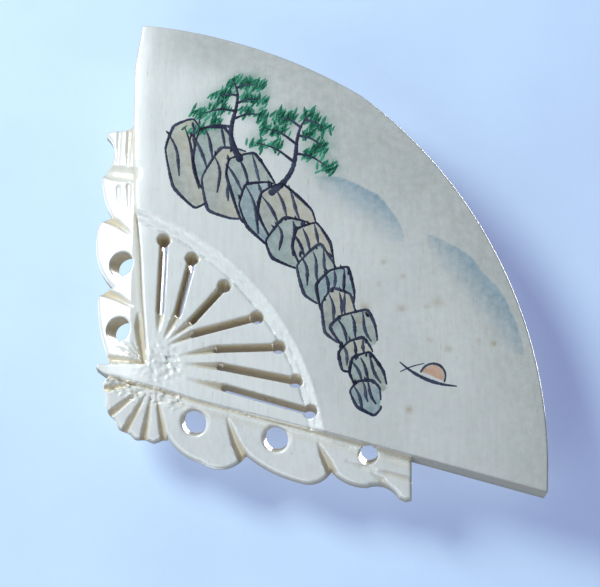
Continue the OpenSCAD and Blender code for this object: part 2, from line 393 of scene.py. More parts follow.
# carved gouges: (stain with painted shade, [(x, y, half width, depth), ...])
GOUGES = [
    (0.9, [(-19.9, 8.75, 0.55, 0.6), (-18.7, 7.95, 0.42, 0.35), (-17.4, 6.75, 0.25, 0.08)]),
    (0.9, [(-19.9, 0.75, 0.5, 0.6), (-18.4, 0.0, 0.42, 0.35), (-16.9, -1.1, 0.25, 0.08)]),
    (0.5, [(-18.75, 18.6, 0.32, 0.2), (-18.8, 16, 0.3, 0.16), (-18.8, 14.3, 0.2, 0.05)]),
    (0.7, [(-17.7, 18.6, 0.32, 0.25), (-17.75, 16, 0.3, 0.22), (-17.7, 14.2, 0.25, 0.08)]),
    (0.45, [(-20.4, 13.8, 0.5, 0.5), (-19.3, 13.6, 0.9, 0.3), (-17.2, 13, 0.9, 0.25)]),
    (0.5, [(-18.7, 11.9, 0.28, 0.16), (-18.6, 9.8, 0.15, 0.05)]),
    (0.7, [(-17.6, 12, 0.3, 0.22), (-17.45, 9.4, 0.2, 0.05)]),
    (0.9, [(-16.15, -1.9, 0.2, 0.1), (-16.1, -3.2, 0.42, 0.5), (-15.85, -5, 0.36, 0.55),
           (-15.55, -7, 0.22, 0.45)]),
    (0.9, [(-19.6, -6.25, 0.4, 0.5), (-17.5, -6.65, 0.32, 0.45), (-15.6, -7.0, 0.2, 0.4)]),
    (0.5, [(-16.1, -6.5, 0.1, 0.2), (-17.6, -5.6, 0.16, 0.16), (-18.3, -5.3, 0.1, 0.04)]),
    (0.5, [(-16, -6.3, 0.1, 0.2), (-17.2, -5.1, 0.16, 0.14), (-17.7, -4.8, 0.1, 0.04)]),
    (0.5, [(-15.9, -6.2, 0.1, 0.2), (-16.6, -4.9, 0.14, 0.1)]),
    (0.9, [(-7.15, -12.6, 0.15, 0.08), (-6.75, -13.7, 0.34, 0.28), (-6.3, -14.9, 0.48, 0.5),
           (-5.6, -16.2, 0.6, 0.7)]),
    (0.9, [(1.8, -15.1, 0.15, 0.08), (2.15, -15.9, 0.34, 0.28), (2.6, -16.8, 0.46, 0.5),
           (3.1, -17.8, 0.55, 0.7)]),
    (0.6, [(7.9, -16.15, 0.1, 0.04), (8.8, -16.45, 0.25, 0.18), (11.2, -17.1, 0.28, 0.22)]),
    (0.7, [(7.4, -17.7, 0.1, 0.04), (8.5, -18.0, 0.27, 0.18), (11.2, -18.75, 0.3, 0.22)]),
    (0.6, [(7.0, -17.9, 0.15, 0.06), (8.0, -18.6, 0.36, 0.2), (8.5, -19.3, 0.3, 0.2)]),
    (0.6, [(4.6, -16.8, 0.15, 0.06), (6.0, -17.35, 0.28, 0.16), (7.4, -17.7, 0.2, 0.08)]),
    (0.6, [(3.4, -15.0, 0.12, 0.05), (4.6, -15.45, 0.26, 0.12), (5.9, -15.85, 0.2, 0.05)]),
    (0.5, [(-12.9, -11.0, 0.12, 0.06), (-12.2, -11.3, 0.2, 0.1), (-11.4, -11.6, 0.1, 0.03)])
]
for slot_eye, slot_end, lead, _ in SLOTS:
    GOUGES.append((0.75, [(*slot_end, 0.44, 0.65), (*lead, 0.16, 0.05)]))
for flute in FLUTE_ANGLES:
    way = np.array([math.cos(math.radians(flute)), math.sin(math.radians(flute))])
    shell_line = [(1.5, 0.1, 0.03), (2.6, 0.22, 0.25), (4.2, 0.34, 0.42), (6.2, 0.42, 0.5)]
    GOUGES.append((0.95, [(*(FLUTE_HUB + way * r), w, d) for r, w, d in shell_line]))


def rounding(distance, r):
    """How far a rounded edge of radius r falls at a distance in from the edge."""
    t = np.clip(r - distance, 0, r)
    return r - np.sqrt(np.maximum(r * r - t * t, 0))


def smooth(x, low, high):
    t = np.clip((x - low) / (high - low), 0, 1)
    return t * t * (3 - 2 * t)


def below_foot(points):
    """How far points lie below the foot of the leaf's lower edge."""
    down = np.array([math.sin(BOTTOM_ANGLE), -math.cos(BOTTOM_ANGLE)])
    return (points - BOTTOM_FOOT) @ down


def in_round(points, centre, spread):
    return np.exp(-((points - np.array(centre)) ** 2).sum(axis=1) / spread ** 2)


def leaf_height(points):
    """The painted face, its slight hand-polished waves and the lowered rib panel."""
    r = np.hypot(*(points - np.array(PANEL_ARC[0])).T)
    foot = PANEL_ARC[1] - PANEL_BEVEL
    t = np.clip((r - foot) / PANEL_BEVEL, 0, 1)
    ramp = np.where(t < 0.75, t * 0.96, 1 - (1 - t) ** 2 * 4.5)
    z = LEAF_T - PANEL_STEP * (1 - np.clip(ramp, 0, 1))
    nicks = 0.6 + 0.4 * np.sin(points[:, 0] * 3.1 + np.sin(points[:, 1] * 2.3) * 2)
    z -= 0.2 * nicks * np.exp(-((r - foot + 0.03) / 0.11) ** 2)
    # a knife line outside the step leaves a low, uneven lip between them
    chatter = 1 + 0.3 * np.sin(points[:, 0] * 5.3 + np.sin(points[:, 1] * 4.1) * 1.6)
    z -= 0.13 * nicks * np.exp(-((r - foot - 0.62) / 0.1) ** 2)
    z += 0.07 * chatter * np.exp(-((r - foot - 1.0) / 0.2) ** 2)
    z += 0.22 * in_round(points, (-14.6, -6.5), 1.1) * (r < foot)
    x, y = points.T
    z += 0.012 * (np.sin(x * 0.43 + 1) + np.sin(y * 0.37 + x * 0.2))
    z -= smooth(-points[:, 0], 15, 20.3) * 0.75
    return z


def border_height(points):
    x, y = points.T
    left = BORDER_H - BORDER_FALL * np.maximum(0, LEFT_FOOT_X - x)
    s = below_foot(points)
    bottom = BORDER_H - BORDER_FALL * np.maximum(0, s)
    # a saw line, a fine ridge and a second line follow the foot of the leaf
    bottom -= 0.22 * np.exp(-((s - 0.3) / 0.12) ** 2) + 0.1 * np.exp(-((s - 0.75) / 0.1) ** 2)
    return np.where(y > -7.4, left, bottom)


def relief(points):
    """Height of the front at each point of the carving, and its brown stain with painted shade in
    the cuts.
    """
    leaf_d, _ = along_line(points, LEAF, closed=True)
    leaf_d *= np.where(inside(points, LEAF), 1, -1)
    on_leaf = smooth(leaf_d, -0.14, 0.0)
    outer_d, _ = along_line(points, OUTER, closed=True)

    z_leaf = leaf_height(points) - rounding(np.maximum(leaf_d, 0), 0.2)
    z_border = border_height(points) - rounding(outer_d, 0.34) * (leaf_d < 0)
    # a brown line just outside the leaf's edge, in the crease where its step meets the border, and
    # a faint brown band beyond it: stain with painted shade
    stain_and_shade = np.where(leaf_d < 0, np.exp(-((leaf_d + 0.22) / 0.18) ** 2) * 0.75, 0)
    stain_and_shade = np.maximum(stain_and_shade, 0.25 * smooth(-leaf_d, 0.4, 0.9) * smooth(leaf_d, -1.6, -0.9))

    # rough chisel facets in the band under the leaf's lower left edge
    band = (points[:, 1] < -7.4) * smooth(-points[:, 0], 10.5, 12.5) * smooth(leaf_d, -1.9, -1.2)
    facets = np.array([noise.cell(Vector((p[0] * 2.6 + p[1], p[1] * 3.1, 4))) for p in points])
    z_border += band * (facets - 0.5) * 0.14
    hub = in_round(points, (-13.6, -7.2), 1.9) * (leaf_d > 0)
    z_leaf += hub * (facets - 0.5) * 0.13

    carve = np.zeros(len(points))
    for strength, line in GOUGES:
        line = np.array(line, float)
        reach = line[:, 2].max()
        low, high = line[:, :2].min(axis=0) - reach, line[:, :2].max(axis=0) + reach
        near = np.all((points > low) & (points < high), axis=1)
        if not near.any():
            continue
        d, place = along_line(points[near], line[:, :2])
        lengths = np.hypot(*np.diff(line[:, :2], axis=0).T)
        marks = np.concatenate([[0], np.cumsum(lengths)]) / lengths.sum()
        w = np.interp(place, marks, line[:, 2])
        deep = np.interp(place, marks, line[:, 3])
        cut = np.clip(1 - (d / w) ** 2, 0, 1)
        carve[near] = np.maximum(carve[near], deep * cut)
        # each gouge browns with its depth: stain with painted shade in the cut
        colour = strength * np.minimum(1, deep / 0.3) * np.sqrt(cut)
        stain_and_shade[near] = np.maximum(stain_and_shade[near], colour)

    z = z_border + (z_leaf - z_border) * on_leaf - carve
    rims = [(loop, 0.13) for loop in SLOT_LOOPS]
    rims += [(loop, hole[3]) for loop, hole in zip(HOLE_LOOPS, HOLES)]
    for loop, r in rims:
        d, _ = along_line(points, loop, closed=True)
        z -= rounding(d, r)
    return np.maximum(z, 0.25), stain_and_shade


def hole_fit(hole, n=56):
    """Where a leaning hole comes out of the sloping border, below its rounded rim."""
    z = np.full(n, HOLE_LEVEL)
    for _ in range(5):
        ring = hole_ring(hole, z)
        z = border_height(ring) - hole[3]
    return ring


HOLE_LOOPS = [hole_fit(h) for h in HOLES]


def grid_points(low, high, pitch):
    rows = []
    for j, y in enumerate(np.arange(low[1], high[1], pitch * math.sqrt(3) / 2)):
        xs = np.arange(low[0] + (j % 2) * pitch / 2, high[0], pitch)
        rows.append(np.stack([xs, np.full(len(xs), y)], axis=1))
    return np.vstack(rows)


def beside(loop, distance):
    """A loop's points moved sideways, to its left."""
    tangent = np.roll(loop, -1, axis=0) - np.roll(loop, 1, axis=0)
    tangent /= np.maximum(np.hypot(*tangent.T), EPS)[:, None]
    return loop + distance * np.stack([-tangent[:, 1], tangent[:, 0]], axis=1)


def front_mesh(paint_loops):
    """Points and triangles of the front, dense along every edge and over the carved parts."""
    cut_loops = SLOT_LOOPS + HOLE_LOOPS
    panel = circle_arc(*PANEL_ARC, -0.4, 1.5, 0.16)
    panel_foot = circle_arc(PANEL_ARC[0], PANEL_ARC[1] - PANEL_BEVEL, -0.4, 1.5, 0.16)
    rows = []
    for distance in (0.06, 0.16, 0.3):
        rows.append(beside(OUTER, distance))
        rows += [beside(loop, -distance) for loop in cut_loops]
    for distance in (-0.3, -0.14, 0.07, 0.2):
        rows.append(beside(LEAF, distance))
    for arc in (panel, panel_foot):
        arc = np.array(arc)
        rows += [arc, beside(arc, 0.12)[1:-1], beside(arc, -0.12)[1:-1]]
    rows = np.vstack(rows)

    low, high = OUTER.min(axis=0), OUTER.max(axis=0)
    coarse = grid_points(low, high, 0.32)
    fine = grid_points(low, np.array([11.0, 18.6]), 0.15)
    r_fine = np.hypot(*(fine - np.array(PANEL_ARC[0])).T)
    carved = ~inside(fine, LEAF) | (r_fine < PANEL_ARC[1] + 0.1)
    r_coarse = np.hypot(*(coarse - np.array(PANEL_ARC[0])).T)
    plain = inside(coarse, LEAF) & (r_coarse > PANEL_ARC[1] + 0.25)
    loose = np.vstack([rows, fine[carved], coarse[plain]])
    loose = loose[inside(loose, OUTER)]
    for loop in cut_loops:
        loose = loose[~inside(loose, loop)]
    fixed = [OUTER, LEAF] + cut_loops
    paint_lines = [line for loop in paint_loops for line in inner_stretches(loop)]
    clear = np.ones(len(loose), bool)
    for loop in fixed + paint_loops:
        clear &= along_line(loose, loop, closed=True)[0] > 0.035
    loose = loose[clear]
    cells = {}
    for i, p in enumerate(loose):
        cells.setdefault((round(p[0] / 0.075), round(p[1] / 0.075)), i)
    loose = loose[sorted(cells.values())]

    verts, faces = triangulate(fixed, loose, paint_lines)
    middles = verts[faces].mean(axis=1)
    kept = inside(middles, OUTER)
    for loop in cut_loops:
        kept &= ~inside(middles, loop)
    faces = faces[kept]
    used, faces = np.unique(faces, return_inverse=True)
    return verts[used], faces.reshape(-1, 3)


# --- the painting ----------------------------------------------------------------------------
# A plain landscape of this script's own: rocks, pines, hills and a boat, the stock things of such
# a picture. Rules and seeded chance draw every line; only the rough places and the colours are
# the object's.

Wash = namedtuple("Wash", "colour strength soft fade loop in_front")
Rock = namedtuple("Rock", "centre wide tall turn loop")
Pad = namedtuple("Pad", "centre wide tall")


def srgb(r, g, b):
    """A display colour from 0 to 255 as linear values."""
    return tuple(((c / 255 + 0.055) / 1.055) ** 2.4 for c in (r, g, b))


STONE = srgb(172, 164, 142)
MOSS = srgb(140, 152, 142)
SLATE = srgb(118, 142, 148)
MIST = srgb(124, 152, 168)
NEEDLE_HAZE = srgb(45, 122, 98)
CANOPY = srgb(196, 148, 118)
SPECK_COLOUR = srgb(150, 128, 74)
# the grey of the tint and painted shade laid over the leaf's face
LEAF_TINT_AND_SHADE = srgb(148, 150, 144)

CURVE_STEP = 0.13
ROCKS = 15
ROCK_ANGLES = (64, 13)
ROCK_GAPS = (7.2, 5.0)
ROCK_ASIDE = 0.7
ROCK_WIDE = (3.1, 1.5)
ROCK_TALL = (4.5, 1.9)
ROCK_CORNERS = 7
ROCK_TURNS = (4, 26)
HILLS = [((1.5, 12.5), (10.5, 5.5), 2.6), ((12.8, 6.2), (22.0, -6.5), 2.6)]
BOAT_AT = np.array([12.6, -8.4])
BOAT_TURN = math.radians(-24)
BOAT_HALF = 3.0
SPECKS = 16


def curve_through(points, step, closed=False):
    """A smooth curve through the points, as evenly spaced places along it."""
    p = np.array(points, float)
    if closed:
        p = np.vstack([p[-1], p, p[0], p[1]])
    else:
        p = np.vstack([2 * p[0] - p[1], p, 2 * p[-1] - p[-2]])
    out = []
    for a, b, c, d in zip(p, p[1:], p[2:], p[3:]):
        n = max(1, round(float(np.hypot(*(c - b))) / step))
        for t in np.arange(n) / n:
            out.append(0.5 * (2 * b + (c - a) * t + (2 * a - 5 * b + 4 * c - d) * t ** 2
                              + (3 * b - a - 3 * c + d) * t ** 3))
    if not closed:
        out.append(p[-2])
    return np.array(out)


def between(pair, t):
    return pair[0] + (pair[1] - pair[0]) * t


def cut_corners(points, shares):
    """A closed outline with its corners cut, once for each share of a side."""
    for share in shares:
        after = np.roll(points, -1, axis=0)
        near, far = points * (1 - share) + after * share, points * share + after * (1 - share)
        points = np.stack([near, far], axis=1).reshape(-1, 2)
    return points


def make_rocks():
    """Cracked blocks stepping down beside the openwork panel, the front ones last."""
    chance = random.Random(21)
    middle, panel_r = np.array(PANEL_ARC[0], float), PANEL_ARC[1]
    out = []
    for k in range(ROCKS):
        t = k / (ROCKS - 1)
        angle = math.radians(between(ROCK_ANGLES, t))
        aside = ROCK_ASIDE * (1 if k % 2 else -1) * (1 - 0.6 * t)
        centre = middle + turned(panel_r + between(ROCK_GAPS, t) + aside, 0, angle)
        wide = between(ROCK_WIDE, t) * chance.uniform(0.8, 1.15)
        tall = between(ROCK_TALL, t) * chance.uniform(0.8, 1.15)
        turn = math.radians(chance.uniform(*ROCK_TURNS))
        ring = []
        for corner in range(ROCK_CORNERS):
            a = math.tau * (corner + chance.uniform(-0.22, 0.22)) / ROCK_CORNERS
            c, s = math.cos(a), math.sin(a)
            square = (abs(c) ** 4 + abs(s) ** 4) ** (-1 / 4)
            reach = square * chance.uniform(0.86, 1.12)
            ring.append(centre + turned(wide * c * reach, tall * s * reach, turn))
        loop = divided(cut_corners(np.array(ring), (0.12, 0.25)), 0.3)
        out.append(Rock(centre, wide, tall, turn, loop))
    return out


def hill_loop(start, end, height, seed):
    """A hill's ridge over a chord, and a shallow return below it."""
    chance = random.Random(seed)
    start, end = np.array(start, float), np.array(end, float)
    run = end - start
    rise = np.array([-run[1], run[0]]) / np.hypot(*run)
    ridge = []
    for t in np.linspace(0, 1, 8):
        lift = height * math.sin(math.pi * t) ** 0.8 * chance.uniform(0.8, 1.15)
        ridge.append(start + run * t + rise * lift)
    foot = [start + run * t - rise * height * 0.9 * math.sin(math.pi * t) for t in (0.8, 0.5, 0.2)]
    return curve_through(ridge + foot, 0.3, closed=True)


def canopy_arch(step):
    """The half round of the boat's cabin."""
    return np.array([BOAT_AT + turned(0.5 + 1.25 * math.cos(a), 1.35 * math.sin(a), BOAT_TURN)
                     for a in np.linspace(0, math.pi, round(4 / step))])


def make_pads():
    """Where each pine's needles gather, with the trunk and branches that carry them."""
    chance = random.Random(4)
    pads, limbs = [], []
    for rock, height, lean, sway in ((ROCK_LIST[3], 8.6, 97, 0.6), (ROCK_LIST[5], 9.4, 63, -0.7)):
        foot = rock.centre + turned(0, rock.tall * 0.85, rock.turn)
        lean = math.radians(lean)
        trunk = [foot + turned(height * t, sway * math.sin(5.5 * t), lean)
                 for t in np.linspace(0, 1, 7)]
        limbs.append(((0.8, 0.55, 0.4, 0.2), trunk))
        for k in range(6):
            t = 0.42 + 0.1 * k
            side = 1 if k % 2 else -1
            reach = height * (0.42 - 0.045 * k) * chance.uniform(0.85, 1.15)
            base = foot + turned(height * t, sway * math.sin(5.5 * t), lean)
            way = turned(side * reach, 0, lean - math.pi / 2)
            middle = base + way * 0.5 + (0, 0.12 * reach)
            tip = base + way + (0, 0.05 * reach)
            limbs.append(((0.36, 0.26, 0.12), [base, middle, tip]))
            pads.append(Pad(tip, 1.15 * chance.uniform(0.8, 1.2), 0.42))
            pads.append(Pad(middle + (0, 0.35), 0.9 * chance.uniform(0.8, 1.2), 0.35))
        pads.append(Pad(trunk[-1], 0.7, 0.4))
    return pads, limbs


ROCK_LIST = make_rocks()
HILL_LOOPS = [hill_loop(*hill, seed) for seed, hill in enumerate(HILLS)]
CANOPY_LOOP = canopy_arch(0.3)
PADS, LIMBS = make_pads()
WASH_LOOPS = HILL_LOOPS + [rock.loop for rock in ROCK_LIST] + [CANOPY_LOOP]


def make_washes():
    out = []
    for (start, end, height), loop in zip(HILLS, HILL_LOOPS):
        start, end = np.array(start, float), np.array(end, float)
        rise = np.array([start[1] - end[1], end[0] - start[0]]) / np.hypot(*(end - start))
        middle = (start + end) / 2
        fade = (middle - rise * height * 0.7, middle + rise * height)
        out.append(Wash(MIST, 0.8, 0.1, fade, loop, []))
    bodies = (STONE, MOSS, STONE, MOSS, SLATE)
    for k, rock in enumerate(ROCK_LIST):
        front = [other.loop for other in ROCK_LIST[k + 1:]]
        out.append(Wash(bodies[k % 5], 0.78, 0.06, None, rock.loop, front))
        dark_side = (rock.centre + turned(rock.wide * 0.4, 0, rock.turn),
                     rock.centre - turned(rock.wide, 0, rock.turn))
        out.append(Wash(SLATE, 0.5, 0.2, dark_side, rock.loop, front))
    out.append(Wash(CANOPY, 0.85, 0.06, None, CANOPY_LOOP, []))
    return out


def make_specks():
    """Small ochre spots of age over the lower right of the leaf: place, size, how dark."""
    chance = random.Random(8)
    return [((chance.uniform(5, 20), chance.uniform(-14, 4)), chance.uniform(0.2, 0.6),
             chance.uniform(0.3, 0.65)) for _ in range(SPECKS)]


def laid_over(under, colour, alpha):
    """A wash laid over what is already painted, as rows of red, green, blue and cover."""
    cover = alpha + under[:, 3] * (1 - alpha)
    share = (alpha / np.maximum(cover, EPS))[:, None]
    mixed = np.array(colour) * share + under[:, :3] * (1 - share)
    return np.column_stack([mixed, cover])


def painted(corners, middles):
    """Paint on each corner of each front triangle; a wash covers whole triangles."""
    paint = np.zeros((len(corners), 4))
    # a grey tint over the leaf's face outside the panel: a faint even tone, then painted shade that
    # darkens the face towards the right and under its upper rim on the left
    on_face = inside(middles, LEAF)
    on_face &= np.hypot(*(middles - PANEL_ARC[0]).T) > PANEL_ARC[1]
    tinted_corners = np.repeat(on_face, 3)
    below_rim = TOP_ARC[1] - np.hypot(*(corners[tinted_corners] - TOP_ARC[0]).T)
    rightward = smooth(corners[tinted_corners][:, 0], -14, 8)
    tint_and_shade = 0.08 + 0.52 * rightward * (1 - 0.6 * smooth(below_rim, 2, 14))
    inward = smooth(corners[tinted_corners][:, 0], -17, -11)
    tint_and_shade += 0.5 * (1 - smooth(below_rim, 1, 7)) * (1 - rightward) * inward
    paint[tinted_corners] = laid_over(paint[tinted_corners], LEAF_TINT_AND_SHADE, tint_and_shade)
    for wash in make_washes():
        covered = inside(middles, wash.loop)
        for other in wash.in_front:
            covered &= ~inside(middles, other)
        hit = np.repeat(covered, 3)
        if not hit.any():
            continue
        at = corners[hit]
        d, _ = along_line(at, wash.loop, closed=True)
        alpha = wash.strength * (1 + 0.3 * np.exp(-d / 0.15) * (wash.soft < 0.2))
        alpha *= 0.15 + 0.85 * smooth(d, 0, wash.soft)
        if wash.fade is not None:
            start, end = wash.fade
            run = end - start
            alpha *= smooth((at - start) @ run / (run @ run), 0, 1)
        paint[hit] = laid_over(paint[hit], wash.colour, np.minimum(alpha, 0.95))
    spots = [(place, size, dark, SPECK_COLOUR) for place, size, dark in make_specks()]
    spots += [(pad.centre, pad.wide, 0.6, NEEDLE_HAZE) for pad in PADS]
    for place, size, dark, colour in spots:
        alpha = dark * in_round(corners, place, size)
        near = alpha > 0.01
        paint[near] = laid_over(paint[near], colour, alpha[near])
    return paint


# --- the carving as one closed mesh ----------------------------------------------------------

def slot_below(slot, top, depth):
    eye, end = np.array(slot[0], float), np.array(slot[1], float)
    run = end - eye
    t = np.clip((top[:, :2] - eye) @ run / (run @ run), 0, 1)
    middle = eye + t[:, None] * run
    keep = 1 - (1 - slot[3]) * depth ** 0.9
    return middle + (top[:, :2] - middle) * keep


def hole_below(hole, top, depth):
    u = np.array([math.cos(hole[2]), math.sin(hole[2])])
    return top[:, :2] + (math.tan(HOLE_LEAN) * top[:, 2] * depth)[:, None] * u


def outer_below(top, depth):
    return beside(top[:, :2], 0.05) if depth == 1 else top[:, :2]


def carving():
    """Vertices, faces, stain with painted shade, and paint of the whole carving."""
    flat, front = front_mesh(WASH_LOOPS)
    z, stain_and_shade = relief(flat)
    verts = [np.column_stack([flat, z])]
    stains_and_shades = [stain_and_shade]
    faces = front.tolist()
    count = len(flat)
    back_loops = []
    for loop in boundary_loops(front):
        top = verts[0][loop]
        slot_d = [along_line(top[:1, :2], c, closed=True)[0][0] for c in SLOT_LOOPS]
        hole_d = [along_line(top[:1, :2], c, closed=True)[0][0] for c in HOLE_LOOPS]
        # each wall browns more the deeper it goes, strongly in the slots and holes: painted shade
        # inside the openings
        depths, wall_stain_and_shade = (0.08, 0.5, 0.95, 1), 0.12
        below = outer_below
        if min(slot_d) < 0.01:
            slot = SLOTS[slot_d.index(min(slot_d))]
            depths, wall_stain_and_shade = (0.1, 0.3, 0.6, 1), 0.95
            below = lambda t, f, s=slot: slot_below(s, t, f)
        elif min(hole_d) < 0.01:
            hole = HOLES[hole_d.index(min(hole_d))]
            depths, wall_stain_and_shade = (0.12, 0.35, 0.65, 1), 0.8
            below = lambda t, f, h=hole: hole_below(h, t, f)
        ring = list(loop)
        for depth in depths:
            level = top[:, 2] * (1 - depth)
            verts.append(np.column_stack([below(top, depth), level]))
            stains_and_shades.append(np.full(len(loop), wall_stain_and_shade * min(1, 0.6 + depth)))
            lower = list(range(count, count + len(loop)))
            count += len(loop)
            for i in range(len(loop)):
                j = (i + 1) % len(loop)
                faces.append([lower[i], lower[j], ring[j], ring[i]])
            ring = lower
        back_loops.append((ring, verts[-1][:, :2]))
    back_ids, back_faces, inner = back_face(back_loops, count)
    verts.append(inner)
    stains_and_shades.append(np.full(len(inner), 0.1))
    faces += [[back_ids[i] for i in face] for face in back_faces]
    corners = flat[front].reshape(-1, 2)
    paint = painted(corners, flat[front].mean(axis=1))
    return np.vstack(verts), faces, np.concatenate(stains_and_shades), paint


def back_face(loops, count):
    """The flat back between the lowest rings of all the walls."""
    points, edges, ids = [], [], []
    for ring, flat in loops:
        first = len(points)
        points += [Vector(p) for p in flat]
        ids += ring
        edges += [(first + i, first + (i + 1) % len(ring)) for i in range(len(ring))]
    grid = grid_points(OUTER.min(axis=0), OUTER.max(axis=0), 0.9)
    grid = grid[inside(grid, loops[0][1])]
    for _, flat in loops[1:]:
        grid = grid[~inside(grid, flat)]
    for _, flat in loops:
        grid = grid[along_line(grid, flat, closed=True)[0] > 0.3]
    inner = np.column_stack([grid, np.zeros(len(grid))])
    ids += list(range(count, count + len(grid)))
    points += [Vector(p) for p in grid]
    found = delaunay_2d_cdt(points, edges, [], 0, 1e-6, True)
    if len(found[0]) != len(points):
        raise RuntimeError("the back's outline crosses itself")
    own = [origins[0] for origins in found[3]]
    corners = np.array([(v.x, v.y) for v in found[0]])
    faces = np.array(found[2])
    middles = corners[faces].mean(axis=1)
    kept = inside(middles, loops[0][1])
    for _, flat in loops[1:]:
        kept &= ~inside(middles, flat)
    turned = []
    for a, b, c in faces[kept]:
        u, v = corners[b] - corners[a], corners[c] - corners[a]
        face = (a, b, c) if u[0] * v[1] - u[1] * v[0] < 0 else (a, c, b)
        turned.append([own[i] for i in face])
    return ids, turned, inner


def new_piece(name, points, faces, sharp=None):
    mesh = bpy.data.meshes.new(name)
    mesh.from_pydata(to_frame(points).tolist(), [], faces)
    mesh.shade_smooth()
    if sharp is not None:
        mesh.set_sharp_from_angle(angle=math.radians(sharp))
    piece = bpy.data.objects.new(name, mesh)
    bpy.context.scene.collection.objects.link(piece)
    return piece


def point_values(mesh, name, values):
    mesh.attributes.new(name, "FLOAT", "POINT").data.foreach_set("value", values)


def make_carving():
    points, faces, stain_and_shade, paint = carving()
    piece = new_piece("bone_carving", points, faces, sharp=48)
    point_values(piece.data, "stain_and_shade", stain_and_shade)
    colours = np.zeros((len(piece.data.loops), 4))
    colours[:len(paint)] = paint
    wash = piece.data.color_attributes.new("wash", "FLOAT_COLOR", "CORNER")
    wash.data.foreach_set("color", colours.ravel())
    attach(piece, "brooch")
    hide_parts("carved_fan")
    return piece


bone = make_carving()


# --- brush strokes ---------------------------------------------------------------------------

class Brush:
    """Collects thin raised strokes of paint that follow the leaf's face."""

    def __init__(self, seed, lift):
        self.random = random.Random(seed)
        self.lift = lift
        self.points, self.faces, self.tones = [], [], []

    def stroke(self, line, widths, tone):
        path = curve_through(line, CURVE_STEP)
        n = len(path)
        tangent = np.gradient(path, axis=0)
        tangent /= np.maximum(np.hypot(*tangent.T), EPS)[:, None]
        side = np.stack([-tangent[:, 1], tangent[:, 0]], axis=1)
        half = np.interp(np.linspace(0, 1, n), np.linspace(0, 1, len(widths)), widths) / 2
        half = half * np.array([1 + self.random.uniform(-0.16, 0.16) for _ in range(n)])
        # round the two ends
        tips = [(0, -0.9), (0, -0.55)], [(n - 1, 0.55), (n - 1, 0.9)]
        places = tips[0] + [(i, 0) for i in range(n)] + tips[1]
        first = len(self.points)
        for i, out in places:
            w = half[i] * math.sqrt(1 - out * out)
            middle = path[i] + tangent[i] * out * half[i]
            for across, up in ((-1, -0.006), (-0.72, 1), (0.72, 1), (1, -0.006), (0, -0.03)):
                rise = self.lift if up == 1 else up
                self.points.append((*(middle + side[i] * w * across), rise))
                self.tones.append(tone)
        for k in range(len(places) - 1):
            a, b = first + 5 * k, first + 5 * (k + 1)
            for j in range(5):
                i = (j + 1) % 5
                self.faces.append((a + j, b + j, b + i, a + i))
        self.faces.append(tuple(first + j for j in range(5)))
        last = first + 5 * (len(places) - 1)
        self.faces.append(tuple(last + j for j in reversed(range(5))))

    def dab(self, x, y, length, width, lean, tone):
        """One short pressed stroke, fuller towards its lower end."""
        way = np.array([math.cos(lean), math.sin(lean)]) * length / 2
        line = [(x, y) + way, (x, y) + way * 0.1, (x, y) - way]
        self.stroke(line, (width * 0.3, width, width * 0.75), tone)

    def piece(self, name, material):
        points = np.array(self.points)
        points[:, 2] += leaf_height(points[:, :2])
        piece = new_piece(name, points, self.faces, sharp=50)
        point_values(piece.data, "tone", self.tones)
        piece.data.materials.append(material)
        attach(piece, "brooch")
        return piece


SHORTEST_RUN = 4


def seen_runs(path, in_front):
    """The stretches of a path that no loop in front hides."""
    hidden = np.zeros(len(path), bool)
    for loop in in_front:
        hidden |= inside(path, loop)
    runs, run = [], []
    for p, gone in zip(path, hidden):
        if not gone:
            run.append(p)
        else:
            runs.append(run)
            run = []
    runs.append(run)
    return [np.array(run) for run in runs if len(run) >= SHORTEST_RUN]


def ink_rocks(ink):
    for k, rock in enumerate(ROCK_LIST):
        front = [other.loop for other in ROCK_LIST[k + 1:]]
        n = len(rock.loop)
        # nearly all the way round, with a gap where the brush lifts
        contour = np.roll(rock.loop, n // 6, axis=0)[:round(n * 0.95)]
        for run in seen_runs(contour, front):
            ink.stroke(run, (0.2, 0.4, 0.24, 0.42, 0.26), ink.random.uniform(0, 0.35))
        for cleft in range(3):
            x = rock.wide * (-0.5 + 0.5 * cleft + ink.random.uniform(-0.12, 0.12))
            top, low = 0.85, ink.random.uniform(-0.75, -0.1)
            line = [rock.centre + turned(x + 0.12 * rock.wide * math.sin(4 * t + cleft),
                                         rock.tall * between((top, low), t), rock.turn)
                    for t in np.linspace(0, 1, 5)]
            for run in seen_runs(curve_through(line, CURVE_STEP), front):
                ink.stroke(run, (0.12, 0.32, 0.4, 0.18), ink.random.uniform(0.1, 0.5))
        for _ in range(5):
            a = math.radians(ink.random.uniform(35, 145))
            at = rock.centre + turned(rock.wide * 1.02 * math.cos(a),
                                      rock.tall * 1.02 * math.sin(a), rock.turn)
            if not any(inside(at[None], loop)[0] for loop in front):
                ink.dab(*at, 0.42, 0.28, math.radians(ink.random.uniform(80, 140)), 0.0)


def ink_boat(ink):
    """A bowed hull, the arch of the cabin and an oar."""
    hull = [BOAT_AT + turned(BOAT_HALF * u, 0.55 * u * u - 0.5, BOAT_TURN)
            for u in np.linspace(-1, 1, 6)]
    ink.stroke(hull, (0.14, 0.36, 0.4, 0.14), 0.3)
    ink.stroke(canopy_arch(0.5), (0.2, 0.28, 0.22), 0.4)
    oar = [BOAT_AT + turned(x, y, BOAT_TURN) for x, y in ((-0.8, 0.9), (-1.8, 0.1), (-2.6, -0.8))]
    ink.stroke(oar, (0.1, 0.16, 0.12), 0.5)


def on_leaf(at):
    """Well inside the leaf's upper edge."""
    return np.hypot(*(at - TOP_ARC[0])) < TOP_ARC[1] - 1


